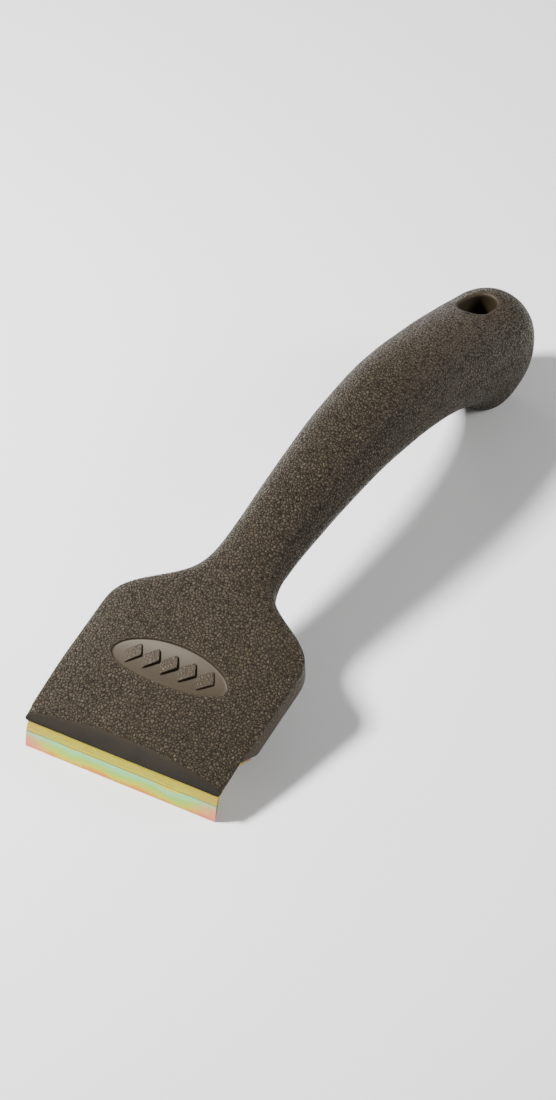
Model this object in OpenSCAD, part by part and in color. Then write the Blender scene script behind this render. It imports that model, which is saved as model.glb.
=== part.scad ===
// Floor scraper: a pull scraper with a two-edged C-section blade clamped under
// the head of a moulded two-shell handle. It lies as it rests on a flat surface:
// on its front cutting edge and on the underside of the pommel.

/* [Blade] */
// Width of each cutting edge
blade_w = 63.5; // [60:0.5:64.5]
// Thickness of the blade steel
blade_t = 1.2; // [1:0.1:1.4]
// Width of the flat web between the two bends, over its top face
web_len = 10.7; // [10:0.1:11.5]
// Length of each bent flange, over its outer face
flange_len = 8.4; // [7.5:0.1:9]
// Angle that each flange is bent down from the web
flange_bend = 44; // [38:1:50]
// Length of the ground bevel behind each cutting edge
bevel_len = 5; // [3:0.5:6]
// Angle of the web to the surface that the scraper lies on
blade_pitch = 22; // [20:1:24]

/* [Clamp] */
// Nominal diameter of the clamp screw
screw_d = 4; // [3:0.5:4]
// Radial clearance of the screw in its threaded insert
thread_clearance = 0.05; // [0.02:0.01:0.1]
// Thickness of the clamp plate
plate_t = 2; // [1.5:0.1:2]
// Length of the clamp plate across the blade
plate_w = 58; // [40:1:60]
// Thickness of the lock washer
washer_t = 1.2; // [1:0.1:1.3]
// Depth of the threaded insert in the head
insert_len = 3; // [2.5:0.1:3]
// Outer radius of the threaded insert
insert_r = 2.8; // [2.6:0.1:2.8]

/* [Handle] */
// Overall length from the front cutting edge to the end of the pommel
overall_len = 219; // [219:1:219]
// Wall thickness of the two hollow shells
wall = 3; // [2.5:0.1:3.5]
// Gap of the seam between the two shells
seam_gap = 0.1; // [0.1:0.05:0.2]
// Width of the hang hole across the handle
hang_hole_w = 9.5; // [8:0.5:10]
// Length of the hang hole along the handle
hang_hole_len = 14; // [13:0.5:15]

/* [Head] */
// Angle of the front bevel of the head to the surface that the scraper lies on
front_bevel = 75; // [72:1:78]
// How far the front lip of the head reaches past the bend of the blade
lip_reach = 0.5; // [0.3:0.1:0.8]
// Clearance between the blade and the pocket under the head
pocket_clearance = 0.3; // [0.25:0.05:0.4]
// Length of the oval badge recess across the head
badge_w = 38; // [30:1:42]
// Width of the oval badge recess along the head
badge_len = 13; // [10:0.5:16]
// Depth of the badge recess
badge_depth = 0.8; // [0.5:0.1:1]

/* [Hidden] */

PLASTIC = [0.29, 0.25, 0.22];
PLASTIC_LOWER = [0.33, 0.29, 0.26];
CHROMATE = [0.82, 0.78, 0.45];
ZINC = [0.72, 0.73, 0.75];
BRASS = [0.78, 0.62, 0.3];

eps = 0.01;
far = 200;
round_fn = 64;

// Cross-sections of the moulded body, from the front of the head to the pommel:
// [distance from the front edge, half width, height of the top at the middle,
//  height of the upper side edge, height of the lower side edge,
//  height of the underside at the middle, fullness of the crown]
SECTIONS = [
    [0,   32.4, 11.4, 10,    4.2,  4,   0.8],
    [12,  32.9, 17.4, 13,    6.7,  6.5, 0.8],
    [24,  33.2, 22.5, 16,    9.8,  9.6, 0.8],
    [36,  33.2, 26,   18.8, 12.9, 12.6, 0.8],
    [44,  33.2, 28.1, 20.8, 14.8, 14.3, 0.78],
    [49,  31.8, 29.4, 22.6, 16,   15,   0.75],
    [53,  27.4, 30.6, 24,   17.4, 15.3, 0.7],
    [57,  20,   31.9, 25.4, 19.2, 15.6, 0.64],
    [61,  14.4, 33.3, 26.4, 21.6, 16.1, 0.58],
    [66,  11.7, 35,   27.2, 24.8, 16.9, 0.52],
    [72,  10.7, 37,   28.4, 27.8, 18,   0.5],
    [80,  10.6, 39.3, 30,   29.4, 19.2, 0.5],
    [92,  11.1, 42.3, 32.2, 31.6, 20.6, 0.5],
    [108, 12,   45.3, 34.4, 33.8, 22.2, 0.5],
    [126, 13,   47.7, 35.8, 35.2, 22.8, 0.5],
    [144, 14,   48.1, 35.2, 34.6, 21.4, 0.5],
    [160, 14.7, 46.2, 33,   32.4, 18.4, 0.5],
    [174, 15.3, 43.1, 29.4, 28.8, 13.8, 0.5],
    [186, 15.9, 40,   25.8, 25.2,  7.6, 0.5],
    [197, 15.9, 36.9, 22.8, 22.2, -2.2, 0.5],
    [206, 15,   34.7, 20.8, 20.2, -0.6, 0.5],
    [212, 13.8, 34.2, 20.2, 19.6,  5.2, 0.5]
];
// The pommel closes in a rounded end over this length
pommel_cap = 12;
cap_start = overall_len - pommel_cap;
// The lower shell starts under the shoulder of the head and reaches its full
// depth at the neck
lower_start = 55;
lower_full = 70;
lower_lip = 1;
// The hollow of the handle
hollow_start = 70;
hollow_end = 205;
hang_hole_y = 199.5;
hang_wall = 2;
badge_y = 27.5;
// Ribbed underside of the head, behind the blade pocket
rib_bays = 5;
rib_y = 27;
rib_len = 19;
rib_t = 2;
// Locating pegs between the shells: distances from the front edge
PEGS = [98, 150];
peg_r = 2.5;
peg_clearance = 0.05;
peg_socket_wall = 1.8;
peg_reach = 5;

// Blade profile, in the plane square to the cutting edge, from the middle of
// the web's top face
tip_u = web_len / 2 + flange_len * cos(flange_bend) - blade_t * sin(flange_bend);
tip_v = -flange_len * sin(flange_bend) - blade_t * cos(flange_bend);
inner_bend_u = web_len / 2 - blade_t * tan(flange_bend / 2);
bevel_u = web_len / 2 + (flange_len - bevel_len) * cos(flange_bend);
bevel_v = -(flange_len - bevel_len) * sin(flange_bend);
// The front tip lies at the front end of the frame, on the surface
seat_y = tip_u * cos(blade_pitch) + tip_v * sin(blade_pitch);
seat_z = tip_u * sin(blade_pitch) - tip_v * cos(blade_pitch);

shank_clearance_r = screw_d / 2 + 0.4;
screw_r = screw_d / 2 - thread_clearance;
head_r = 4.6;
head_h = 3;
slot_w = 1.2;
slot_depth = 1.4;
washer_r = 4.4;
stack_t = blade_t + plate_t + washer_t;
shank_len = stack_t + insert_len - 0.2;

// ---- interpolation of the cross-sections -----------------------------------

function slope(c, i) =
    let (n = len(SECTIONS) - 1, a = max(i - 1, 0), b = min(i + 1, n),
         d0 = (SECTIONS[i][c] - SECTIONS[a][c]) / max(SECTIONS[i][0] - SECTIONS[a][0], eps),
         d1 = (SECTIONS[b][c] - SECTIONS[i][c]) / max(SECTIONS[b][0] - SECTIONS[i][0], eps))
    i == 0 ? d1 : i == n ? d0 : d0 * d1 <= 0 ? 0 : 2 * d0 * d1 / (d0 + d1);

function span(y, i = 0) = i >= len(SECTIONS) - 2 || y < SECTIONS[i + 1][0] ? i : span(y, i + 1);

function hermite(a, b, sa, sb, h, t) =
    let (t2 = t * t, t3 = t2 * t)
    (2 * t3 - 3 * t2 + 1) * a + (t3 - 2 * t2 + t) * h * sa
    + (3 * t2 - 2 * t3) * b + (t3 - t2) * h * sb;

function at(y, c) =
    let (yy = min(y, SECTIONS[len(SECTIONS) - 1][0]), i = span(yy),
         h = SECTIONS[i + 1][0] - SECTIONS[i][0], t = (yy - SECTIONS[i][0]) / h)
    hermite(SECTIONS[i][c], SECTIONS[i + 1][c], slope(c, i), slope(c, i + 1), h, t);

function cap(y) = y <= cap_start ? 1 : sqrt(max(0, 1 - pow((y - cap_start) / pommel_cap, 2)));

function mid(y) = (at(y, 3) + at(y, 4)) / 2;

// Height c of the section at y, drawn in towards its middle in the pommel cap
function height_at(y, c) = mid(y) + (at(y, c) - mid(y)) * cap(y);

function half_width(y) = at(y, 1) * cap(y);

// The seam between the shells: the middle of the side on the handle, running
// down to the underside at the shoulder
function seam(y) =
    let (t = min(1, max(0, (y - lower_start) / (lower_full - lower_start))),
         low = at(y, 5) + lower_lip)
    low + (mid(y) - low) * t * t * (3 - 2 * t);

// ---- lofted solids ----------------------------------------------------------

ARC = 18;
INNER_ARC = 12;

// Upper outline of the section at y, set in by t, closed below at height z0
function upper_ring(y, t, z0, n) =
    let (w = half_width(y) - t, zs = max(height_at(y, 3) - t * 0.5, z0 + 0.2),
         zt = height_at(y, 2) - t, q = at(y, 6))
    concat([[w, y, z0]],
           [for (i = [0:n]) let (a = 180 * i / n)
               [w * cos(a), y, zs + (zt - zs) * pow(max(0, sin(a) * sin(a)), q)]],
           [[-w, y, z0]]);

// Lower outline of the section at y, set in by t, closed above at height z0
function lower_ring(y, t, z0, n) =
    let (w = half_width(y) - t, zl = min(height_at(y, 4) + t * 0.5, z0 - 0.2),
         zb = min(height_at(y, 5) + t, zl - 0.1), q = at(y, 6))
    concat([[-w, y, z0]],
           [for (i = [0:n]) let (a = 180 * i / n)
               [-w * cos(a), y, zl - (zl - zb) * pow(max(0, sin(a) * sin(a)), q)]],
           [[w, y, z0]]);

// Closed solid through a list of rings that have the same number of points
module loft(rings) {
    n = len(rings[0]);
    m = len(rings);
    polyhedron(
        points = [for (r = rings) each r],
        faces = concat(
            [[for (j = [n - 1:-1:0]) j]],
            [for (i = [0:m - 2], j = [0:n - 1])
                [i * n + j, i * n + (j + 1) % n, (i + 1) * n + j]],
            [for (i = [0:m - 2], j = [0:n - 1])
                [i * n + (j + 1) % n, (i + 1) * n + (j + 1) % n, (i + 1) * n + j]],
            [[for (j = [0:n - 1]) (m - 1) * n + j]]),
        convexity = 6);
}

// Distances from the front edge at which the body is sectioned
HEAD_CUTS = [for (y = [0:4:44]) y];
SHOULDER_CUTS = [for (y = [46:1.5:67]) y];
GRIP_CUTS = [for (y = [71:4:195]) y];
POMMEL_CUTS = [for (y = [198:3:207]) y];
CAP_CUTS = [for (a = [14:12:86]) cap_start + pommel_cap * sin(a)];
CUTS = concat(HEAD_CUTS, SHOULDER_CUTS, GRIP_CUTS, POMMEL_CUTS, CAP_CUTS);
LOWER_CUTS = [for (y = CUTS) if (y >= lower_start) y];
BADGE_CUTS = [for (y = [16:4:40]) y];
HOLLOW_CUTS = [for (y = [hollow_start:5:hollow_end]) y];

module upper_form() {
    loft([for (y = CUTS)
        upper_ring(y, 0, y < lower_start ? at(y, 5) : seam(y) + seam_gap / 2, ARC)]);
}

module lower_form() {
    loft([for (y = LOWER_CUTS) lower_ring(y, 0, seam(y) - seam_gap / 2, ARC)]);
}

module upper_hollow() {
    loft([for (y = HOLLOW_CUTS) upper_ring(y, wall, mid(y) - 2, INNER_ARC)]);
}

module lower_hollow() {
    loft([for (y = HOLLOW_CUTS) lower_ring(y, wall, mid(y) + 2, INNER_ARC)]);
}

// ---- places -------------------------------------------------------------------

// Moves the object's middle over the origin
module in_place() {
    translate([0, -overall_len / 2, 0])
        children();
}

// The blade's own frame: its origin is the middle of the seat, with up square to it
module on_seat() {
    in_place()
        translate([0, seat_y, seat_z])
            rotate([blade_pitch, 0, 0])
                children();
}

// A profile drawn in the plane square to the cutting edge, made w wide
module across(w) {
    translate([-w / 2, 0, 0])
        rotate([90, 0, 90])
            linear_extrude(height = w)
                children();
}

module slot_outline(w, l) {
    for (s = [-1, 1])
        translate([0, s * (l - w) / 2])
            circle(d = w, $fn = round_fn);
    square([w, l - w], center = true);
}

// ---- cuts in the shells ----------------------------------------------------------

// Everything in front of the front bevel
module front_cut() {
    on_seat()
        translate([0, -web_len / 2 - lip_reach, 0])
            rotate([front_bevel - blade_pitch - 90, 0, 0])
                translate([-far / 2, -far, -far / 2])
                    cube([far, far, far]);
}

// The pocket under the head: a flat seat, and a rear wall along the rear flange
module blade_pocket() {
    rear_u = web_len / 2 + pocket_clearance;
    on_seat()
        across(far)
            polygon([
                [-far, 0],
                [rear_u, 0],
                [rear_u + 10 * cos(flange_bend), -10 * sin(flange_bend)],
                [rear_u + 10 * cos(flange_bend), -far / 4],
                [-far, -far / 4]]);
}

module insert_bore() {
    on_seat()
        translate([0, 0, -1])
            cylinder(r = insert_r, h = insert_len + 1 + 0.2, $fn = round_fn);
}

// Upright slot at the hang hole, wider all round by t
module hang_slot(t) {
    translate([0, hang_hole_y, -10])
        linear_extrude(height = 60)
            slot_outline(hang_hole_w + 2 * t, hang_hole_len + 2 * t);
}

module hang_hole() {
    in_place()
        hang_slot(0);
}

// Shallow oval dish whose floor follows the crown of the head
module badge_recess() {
    in_place()
        difference() {
            translate([0, badge_y, at(badge_y, 3)])
                linear_extrude(height = 20)
                    polygon([for (a = [0:10:350])
                        [badge_w / 2 * cos(a), badge_len / 2 * sin(a)]]);
            translate([0, 0, -badge_depth])
                loft([for (y = BADGE_CUTS) upper_ring(y, 0, at(y, 5), ARC)]);
        }
}

// Hollows under the head between its ribs, each deep enough to leave a roof
module rib_hollows() {
    pitch = (2 * at(rib_y, 1) - wall) / rib_bays;
    roof_tilt = atan((at(rib_y + rib_len, 3) - at(rib_y, 3)) / rib_len);
    for (i = [0:rib_bays - 1]) {
        x = (i - (rib_bays - 1) / 2) * pitch;
        edge = abs(x) + (pitch - rib_t) / 2;
        crown = (at(rib_y, 2) - at(rib_y, 3)) * (1 - pow(edge / at(rib_y, 1), 2));
        in_place()
            translate([x, rib_y, at(rib_y, 3) + crown - wall])
                rotate([roof_tilt, 0, 0])
                    translate([-(pitch - rib_t) / 2, 0, -30])
                        cube([pitch - rib_t, rib_len, 30]);
    }
}

// Everything below the surface that the scraper lies on
module under_surface() {
    translate([-far / 2, -far, -far])
        cube([far, 2 * far, far]);
}

// ---- nodes --------------------------------------------------------------------

// Socket in the upper shell for a peg of the lower shell
module peg_socket(y) {
    in_place()
        translate([0, y, mid(y) + seam_gap])
            cylinder(r = peg_r + peg_socket_wall, h = at(y, 2) - mid(y) - wall / 2, $fn = 32);
}

module peg_bore(y) {
    in_place()
        translate([0, y, mid(y) - 1])
            cylinder(r = peg_r + peg_clearance, h = peg_reach + 2, $fn = 32);
}

module upper_shell() {
    color(PLASTIC)
        difference() {
            union() {
                difference() {
                    in_place()
                        upper_form();
                    in_place()
                        difference() {
                            upper_hollow();
                            hang_slot(hang_wall);
                        }
                }
                for (y = PEGS)
                    peg_socket(y);
            }
            front_cut();
            blade_pocket();
            insert_bore();
            badge_recess();
            rib_hollows();
            hang_hole();
            for (y = PEGS)
                peg_bore(y);
        }
}

module peg(y) {
    in_place()
        translate([0, y, at(y, 5) + wall / 2])
            cylinder(r = peg_r, h = mid(y) + peg_reach - at(y, 5) - wall / 2, $fn = 32);
}

module lower_shell() {
    color(PLASTIC_LOWER)
        difference() {
            union() {
                difference() {
                    in_place()
                        lower_form();
                    in_place()
                        difference() {
                            lower_hollow();
                            hang_slot(hang_wall);
                        }
                }
                for (y = PEGS)
                    peg(y);
            }
            hang_hole();
            under_surface();
        }
}

module threaded_insert() {
    color(BRASS)
        on_seat()
            rotate_extrude($fn = round_fn)
                polygon([
                    [screw_d / 2, 0],
                    [insert_r, 0],
                    [insert_r, 1.3],
                    [insert_r - 0.4, 1.5],
                    [insert_r - 0.4, 2.2],
                    [insert_r, 2.4],
                    [insert_r, insert_len],
                    [screw_d / 2, insert_len]]);
}

module blade() {
    inner_v = -blade_t;
    edge_land = 0.1;
    color(CHROMATE)
        on_seat()
            difference() {
                across(blade_w)
                    polygon([
                        [-tip_u, tip_v],
                        [-tip_u - edge_land * sin(flange_bend), tip_v + edge_land],
                        [-bevel_u, bevel_v],
                        [-web_len / 2, 0],
                        [web_len / 2, 0],
                        [bevel_u, bevel_v],
                        [tip_u + edge_land * sin(flange_bend), tip_v + edge_land],
                        [tip_u, tip_v],
                        [inner_bend_u, inner_v],
                        [-inner_bend_u, inner_v]]);
                translate([0, 0, -5])
                    cylinder(r = shank_clearance_r, h = 10, $fn = round_fn);
            }
}

module clamp_plate() {
    half = inner_bend_u - 0.3;
    foot = plate_t * 0.9;
    color(ZINC)
        on_seat()
            translate([0, 0, -blade_t])
                difference() {
                    across(plate_w)
                        polygon([
                            [-half, 0],
                            [half, 0],
                            [half + foot / tan(flange_bend) * 0.9, -foot],
                            [half + foot / tan(flange_bend) * 0.9 - 0.6, -plate_t],
                            [-half - foot / tan(flange_bend) * 0.9 + 0.6, -plate_t],
                            [-half - foot / tan(flange_bend) * 0.9, -foot]]);
                    translate([0, 0, -5])
                        cylinder(r = shank_clearance_r, h = 10, $fn = round_fn);
                }
}

module lock_washer() {
    color(ZINC)
        on_seat()
            translate([0, 0, -stack_t])
                difference() {
                    cylinder(r = washer_r, h = washer_t, $fn = round_fn);
                    translate([0, 0, -1])
                        cylinder(r = screw_d / 2 + 0.2, h = washer_t + 2, $fn = round_fn);
                    translate([0, 0, washer_t / 2])
                        rotate([0, 20, 0])
                            translate([-0.3, -washer_r - 1, -2])
                                cube([0.6, washer_r, 4]);
                }
}

module clamp_screw() {
    dome = 0.7;
    color(ZINC)
        on_seat()
            translate([0, 0, -stack_t])
                difference() {
                    rotate_extrude($fn = round_fn)
                        polygon([
                            [0, -head_h],
                            [head_r - 2 * dome, -head_h],
                            [head_r - dome / 2, -head_h + dome],
                            [head_r, -head_h + 2 * dome],
                            [head_r, 0],
                            [screw_r, 0],
                            [screw_r, shank_len - 0.5],
                            [screw_r - 0.5, shank_len],
                            [0, shank_len]]);
                    translate([-head_r - 1, -slot_w / 2, -head_h - 1])
                        cube([2 * head_r + 2, slot_w, slot_depth + 1]);
                }
}

upper_shell();
lower_shell();
threaded_insert();
blade();
clamp_plate();
lock_washer();
clamp_screw();
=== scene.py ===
"""Floor scraper: a two-shell moulded handle with a leather grain, and a two-edged
blade held under its head by a clamp plate and one screw.

Sizes inside the shape functions are in millimetres, measured from the front
cutting edge; they are turned into metres when a mesh gets its place.
"""

import math

import bmesh
import bpy
import numpy as np
from bpy.props import FloatProperty, FloatVectorProperty, IntProperty, PointerProperty
from mathutils import Matrix, Vector


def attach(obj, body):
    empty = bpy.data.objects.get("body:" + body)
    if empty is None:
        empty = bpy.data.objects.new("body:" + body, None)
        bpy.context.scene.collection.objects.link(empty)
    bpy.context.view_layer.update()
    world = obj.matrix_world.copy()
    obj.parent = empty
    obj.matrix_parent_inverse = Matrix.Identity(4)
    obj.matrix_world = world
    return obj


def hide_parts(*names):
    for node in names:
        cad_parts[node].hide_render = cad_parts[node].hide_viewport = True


bl_info = {
    "name": "Floor Scraper",
    "version": (1, 0, 0),
    "blender": (4, 5, 0),
    "location": "View3D > Sidebar > Scraper",
    "description": "Builds a floor scraper with a moulded handle and a clamped blade",
    "category": "Object",
}

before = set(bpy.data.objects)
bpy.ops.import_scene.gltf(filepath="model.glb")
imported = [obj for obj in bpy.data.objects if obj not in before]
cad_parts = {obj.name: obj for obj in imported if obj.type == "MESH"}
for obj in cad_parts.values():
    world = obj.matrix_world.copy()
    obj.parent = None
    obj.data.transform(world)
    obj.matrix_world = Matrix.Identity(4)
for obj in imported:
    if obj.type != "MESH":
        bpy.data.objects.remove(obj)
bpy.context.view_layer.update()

MM = 0.001
HALF_LENGTH = 109.5
HEAD_HALF_WIDTH = 33.2
MERGE_DISTANCE = 2e-6

# Cross-sections of the moulded body: distance from the front edge, half width,
# top, upper side edge, lower side edge, underside, fullness of the crown
SECTIONS = (
    (0, 32.4, 12.9, 9.4, 4.2, 4, 0.95),
    (12, 32.9, 18.2, 12.8, 6.7, 6.5, 0.9),
    (24, 33.2, 22.7, 16, 9.8, 9.6, 0.85),
    (36, 33.2, 26, 18.8, 12.9, 12.6, 0.8),
    (44, 33.2, 28.1, 20.8, 14.8, 14.3, 0.78),
    (49, 31.8, 29.4, 22.6, 16, 15, 0.75),
    (53, 27.4, 30.6, 24, 17.4, 15.3, 0.7),
    (57, 20, 31.9, 25.4, 19.2, 15.6, 0.64),
    (61, 14.4, 33.3, 26.4, 21.6, 16.1, 0.58),
    (66, 11.7, 35, 27.2, 24.8, 16.9, 0.52),
    (72, 10.7, 37, 28.4, 27.8, 18, 0.5),
    (80, 10.6, 39.3, 30, 29.4, 19.2, 0.5),
    (92, 11.1, 42.3, 32.2, 31.6, 20.6, 0.5),
    (108, 12, 45.3, 34.4, 33.8, 22.2, 0.5),
    (126, 13, 47.7, 35.8, 35.2, 22.8, 0.5),
    (144, 14, 48.1, 35.2, 34.6, 21.4, 0.5),
    (160, 14.7, 46.2, 33, 32.4, 18.4, 0.5),
    (174, 15.3, 43.1, 29.4, 28.8, 13.8, 0.5),
    (186, 15.9, 40, 25.8, 25.2, 7.6, 0.5),
    (197, 15.9, 36.9, 22.8, 22.2, -2.2, 0.5),
    (206, 15, 34.7, 20.8, 20.2, -0.6, 0.5),
    (212, 13.8, 34.2, 20.2, 19.6, 5.2, 0.5),
)
WIDTH, TOP, SIDE_TOP, SIDE_LOW, UNDER, FULLNESS = range(1, 7)

CAP_START = 207.0
CAP_LENGTH = 12.0
LOWER_START = 55.0
LOWER_FULL = 70.0
LOWER_LIP = 1.0
SEAM_GAP = 0.1
SEAM_GROOVE = 0.14

# Seat of the blade under the head, and the plane of the front bevel
SEAT_Y = 7.2807
SEAT_Z = 10.166
PITCH = math.radians(22)
BEVEL_TILT = math.tan(math.radians(15))
POCKET_FRONT = (SEAT_Y - 5.85 * math.cos(PITCH), SEAT_Z - 5.85 * math.sin(PITCH))
POCKET_BACK = (SEAT_Y + 5.65 * math.cos(PITCH), SEAT_Z + 5.65 * math.sin(PITCH))
PLANAR_FROM = 12.0

# Ribbed underside behind the blade pocket
RIB_Y = 27.0
RIB_END = 46.0
RIB_WALL = 2.0
BAYS = 5
SHELL_WALL = 3.0
BAY_PITCH = (2 * HEAD_HALF_WIDTH - SHELL_WALL) / BAYS
BAY_REACH = (BAY_PITCH - RIB_WALL) / 2

HANG_HOLE_Y = 199.5
INSERT_RADIUS = 2.8
INSERT_DEPTH = 3.2

BLADE_WIDTH = 63.5
BLADE_THICKNESS = 1.2
WEB = 10.7
FLANGE = 8.4
FLANGE_BEND = math.radians(44)
GROUND_BEVEL = 5.0
SHANK_HOLE = 2.4
BLADE_SLICES = 84
BLADE_EDGE_ROUND = 0.12
HOLE_MARGIN = 3.9

# Raised lozenges in the badge, and how the dish deepens towards its middle
LOZENGE_PITCH = 6.0
LOZENGE_WIDE = 2.7
LOZENGE_TALL = 3.5
LOZENGE_SLANT = 0.22
LOZENGE_SUNK = 0.4
LOZENGE_HEIGHT = 1.7
LOZENGE_ROUND = 0.18
DISH_RIM_SHARE = 0.89
DISH_BOWL_SHARE = 0.75

# Share of the smooth finish at which a face is without grain, and the head's
# rows and passes over which its front crease is rounded
SMOOTH = 1.0
CREASE_ROWS = 7
CREASE_REACH = 9
CREASE_PASSES = 26

# Lamps other than the key light, as shares of the fill light's power
BACK_SHARE = 0.25
RIGHT_SHARE = 1.1


def mm(x, y, z):
    """Place in metres of a point given in millimetres from the front edge."""
    return Vector((x * MM, (y - HALF_LENGTH) * MM, z * MM))


def on_seat(x, u, v):
    """Place in metres of a point in the blade's own frame."""
    y = SEAT_Y + u * math.cos(PITCH) - v * math.sin(PITCH)
    z = SEAT_Z + u * math.sin(PITCH) + v * math.cos(PITCH)
    return mm(x, y, z)


def blend_step(low, high, value):
    """Rises smoothly from 0 at low to 1 at high."""
    t = np.clip((value - low) / (high - low), 0, 1)
    return t * t * (3 - 2 * t)


# ---- shape of the moulded body -------------------------------------------------

TABLE_STEP = 0.25
TABLE_Y = np.arange(-20.0, 240.0, TABLE_STEP)


def fair_curve(column, spread):
    """One column of the sections as a smooth curve along the body."""
    ys = np.array([row[0] for row in SECTIONS], dtype=float)
    vs = np.array([row[column] for row in SECTIONS], dtype=float)
    rise = np.diff(vs) / np.diff(ys)
    slopes = np.concatenate([[rise[0]], np.zeros(len(ys) - 2), [0.0]])
    for i in range(1, len(ys) - 1):
        if rise[i - 1] * rise[i] > 0:
            slopes[i] = 2 * rise[i - 1] * rise[i] / (rise[i - 1] + rise[i])
    at = np.clip(TABLE_Y, ys[0], ys[-1])
    i = np.clip(np.searchsorted(ys, at, side="right") - 1, 0, len(ys) - 2)
    h = ys[i + 1] - ys[i]
    t = (at - ys[i]) / h
    curve = (
        (2 * t**3 - 3 * t**2 + 1) * vs[i]
        + (t**3 - 2 * t**2 + t) * h * slopes[i]
        + (3 * t**2 - 2 * t**3) * vs[i + 1]
        + (t**3 - t**2) * h * slopes[i + 1]
    )
    curve = curve + np.minimum(TABLE_Y - ys[0], 0) * rise[0]
    reach = np.arange(-4 * spread, 4 * spread + TABLE_STEP, TABLE_STEP)
    kernel = np.exp(-0.5 * (reach / spread) ** 2)
    kernel /= kernel.sum()
    pad = len(kernel)
    padded = np.pad(curve, pad, mode="edge")
    return np.convolve(padded, kernel, mode="same")[pad:-pad]


FAIRING = 1.5
CURVES = {column: fair_curve(column, FAIRING) for column in range(1, 7)}


def at(y, column):
    """Value of one column of the sections at a distance from the front."""
    return np.interp(y, TABLE_Y, CURVES[column])


def cap(y):
    """Share of the section that is left in the rounded end of the pommel."""
    return np.sqrt(np.clip(1 - np.clip((y - CAP_START) / CAP_LENGTH, 0, 1) ** 2, 0, 1))


def middle(y):
    """Height of the middle of the side wall."""
    return (at(y, SIDE_TOP) + at(y, SIDE_LOW)) / 2


def height(y, column):
    """Height of a column, drawn in towards the middle in the pommel's end."""
    return middle(y) + (at(y, column) - middle(y)) * cap(y)


def half_width(y):
    """Half the width of the body."""
    return at(y, WIDTH) * cap(y)


def seam_height(y):
    """Height of the seam, which runs down under the shoulder of the head."""
    low = at(y, UNDER) + LOWER_LIP
    return low + (middle(y) - low) * blend_step(LOWER_START, LOWER_FULL, y)


def crown(x, y):
    """Height of the top surface."""
    share = np.clip(1 - (x / np.maximum(half_width(y), 1e-6)) ** 2, 0, 1)
    side = height(y, SIDE_TOP)
    return side + (height(y, TOP) - side) * share ** at(y, FULLNESS)


def belly(x, y):
    """Height of the underside, flat where the pommel rests."""
    share = np.clip(1 - (x / np.maximum(half_width(y), 1e-6)) ** 2, 0, 1)
    side = height(y, SIDE_LOW)
    low = side - (side - height(y, UNDER)) * share ** at(y, FULLNESS)
    return np.maximum(low, 0)


def pocket(y):
    """Height of the pocket's seat and of its rear wall."""
    seat = SEAT_Z + (y - SEAT_Y) * math.tan(PITCH)
    rear = POCKET_BACK[1] - (y - POCKET_BACK[0]) * math.tan(PITCH)
    return np.minimum(seat, rear)


# Columns of the body's mesh, for one half of the section: from the seam up to
# the middle of the top, and from the seam down to the middle of the underside
WALL_COLUMNS = 5
RIB_STOPS = (
    HEAD_HALF_WIDTH,
    2 * BAY_PITCH + BAY_REACH,
    2 * BAY_PITCH - BAY_REACH,
    BAY_PITCH + BAY_REACH,
    BAY_PITCH - BAY_REACH,
    BAY_REACH,
    0.0,
)
RIB_COUNTS = (5, 19, 4, 19, 4, 10)
HALF_COLUMNS = WALL_COLUMNS + sum(RIB_COUNTS)
COLUMNS = 2 * HALF_COLUMNS
LIP_STEPS = (0.0, 0.2, 0.6)
OUTLINE_SAMPLES = 700


def rib_shares():
    """Shares of the half width at which the underside has columns."""
    stops = [stop / HEAD_HALF_WIDTH for stop in RIB_STOPS]
    shares = []
    for start, end, count in zip(stops, stops[1:], RIB_COUNTS):
        shares += [start + (end - start) * i / count for i in range(count)]
    return np.array(shares + [0.0])


def even_steps(length, scale):
    """Distances from the seam: fine steps at its lip, then even ones."""
    lip = [step * scale for step in LIP_STEPS]
    rest = np.linspace(lip[-1], length, HALF_COLUMNS - len(lip) + 2)[1:]
    return np.concatenate([lip, rest])


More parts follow.
